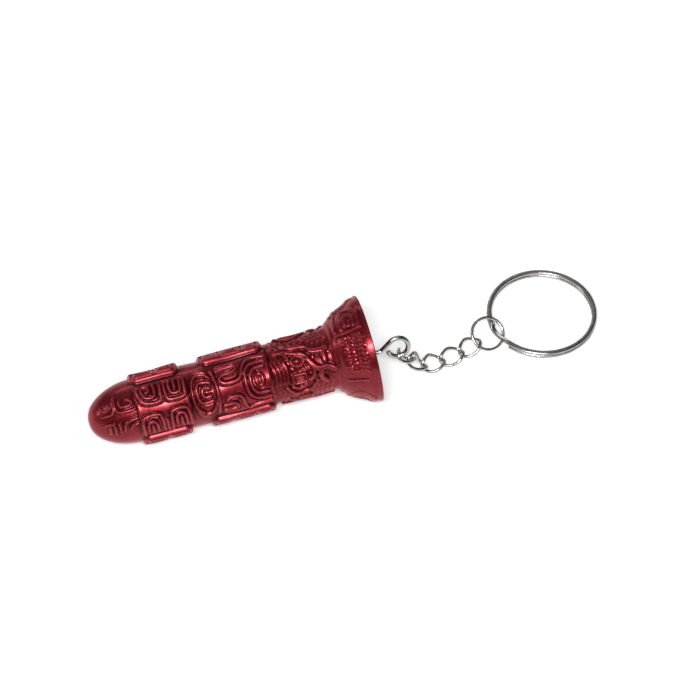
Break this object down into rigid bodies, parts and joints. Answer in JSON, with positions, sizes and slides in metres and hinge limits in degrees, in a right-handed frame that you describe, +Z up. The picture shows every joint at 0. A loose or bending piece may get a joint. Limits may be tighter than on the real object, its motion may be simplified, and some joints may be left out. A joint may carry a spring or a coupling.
{
  "type": "keychain",
  "caption": "Keychain with a tapered, patterned silicone pendant on a screw eye, a short curb chain, a jump ring and a flat split ring.",
  "frame": {"origin": "centre of the bounding box in X and Y, on the surface it lies on", "axes": "+X from the pendant's round nose towards the split ring, +Z up from the surface, pendant axis in the XZ plane"},
  "size_m": [0.1212, 0.0318, 0.0247],
  "materials": {
    "silicone": "pearlescent dark red moulded silicone",
    "plated_steel": "bright nickel plate",
    "spring_steel": "bright nickel plate, slightly rubbed"
  },
  "bodies": {
    "charm": {"charm_body": "silicone", "screw_eye": "plated_steel"},
    "link_1": {"chain_link_1": "plated_steel"},
    "link_2": {"chain_link_2": "plated_steel"},
    "link_3": {"chain_link_3": "plated_steel"},
    "link_4": {"chain_link_4": "plated_steel"},
    "link_5": {"chain_link_5": "plated_steel"},
    "jump_ring": {"jump_ring": "plated_steel"},
    "split_ring": {"split_ring": "spring_steel"}
  },
  "joints": [
    {"name": "link_1_swing", "type": "hinge", "parent": "charm", "child": "link_1", "pos_m": [0.01229, -0.00575, 0.01002], "axis": [0.9702, 0.0602, 0.2346], "range_deg": [-50, 50]},
    {"name": "link_2_swing", "type": "hinge", "parent": "link_1", "child": "link_2", "pos_m": [0.01493, -0.0047, 0.00646], "axis": [-0.7897, 0.3944, -0.4699], "range_deg": [-60, 60]},
    {"name": "link_3_swing", "type": "hinge", "parent": "link_2", "child": "link_3", "pos_m": [0.01748, -0.00489, 0.00334], "axis": [0.1444, 0.4071, 0.9019], "range_deg": [-40, 40]},
    {"name": "link_4_swing", "type": "hinge", "parent": "link_3", "child": "link_4", "pos_m": [0.02286, -0.00353, 0.00186], "axis": [-0.3187, 0.882, -0.3471], "range_deg": [-60, 60]},
    {"name": "link_5_swing", "type": "hinge", "parent": "link_4", "child": "link_5", "pos_m": [0.0269, -0.0027, 0.00187], "axis": [-0.1414, 0.2931, 0.9456], "range_deg": [-60, 60]},
    {"name": "jump_ring_swing", "type": "hinge", "parent": "link_5", "child": "jump_ring", "pos_m": [0.03115, -0.00081, 0.00189], "axis": [-0.3994, 0.7569, 0.5172], "range_deg": [-28, 28]},
    {"name": "split_ring_swing", "type": "hinge", "parent": "jump_ring", "child": "split_ring", "pos_m": [0.03636, 0.001, 0.00225], "axis": [0.1998, -0.9798, 0.0108], "range_deg": [-60, 60]}
  ]
}
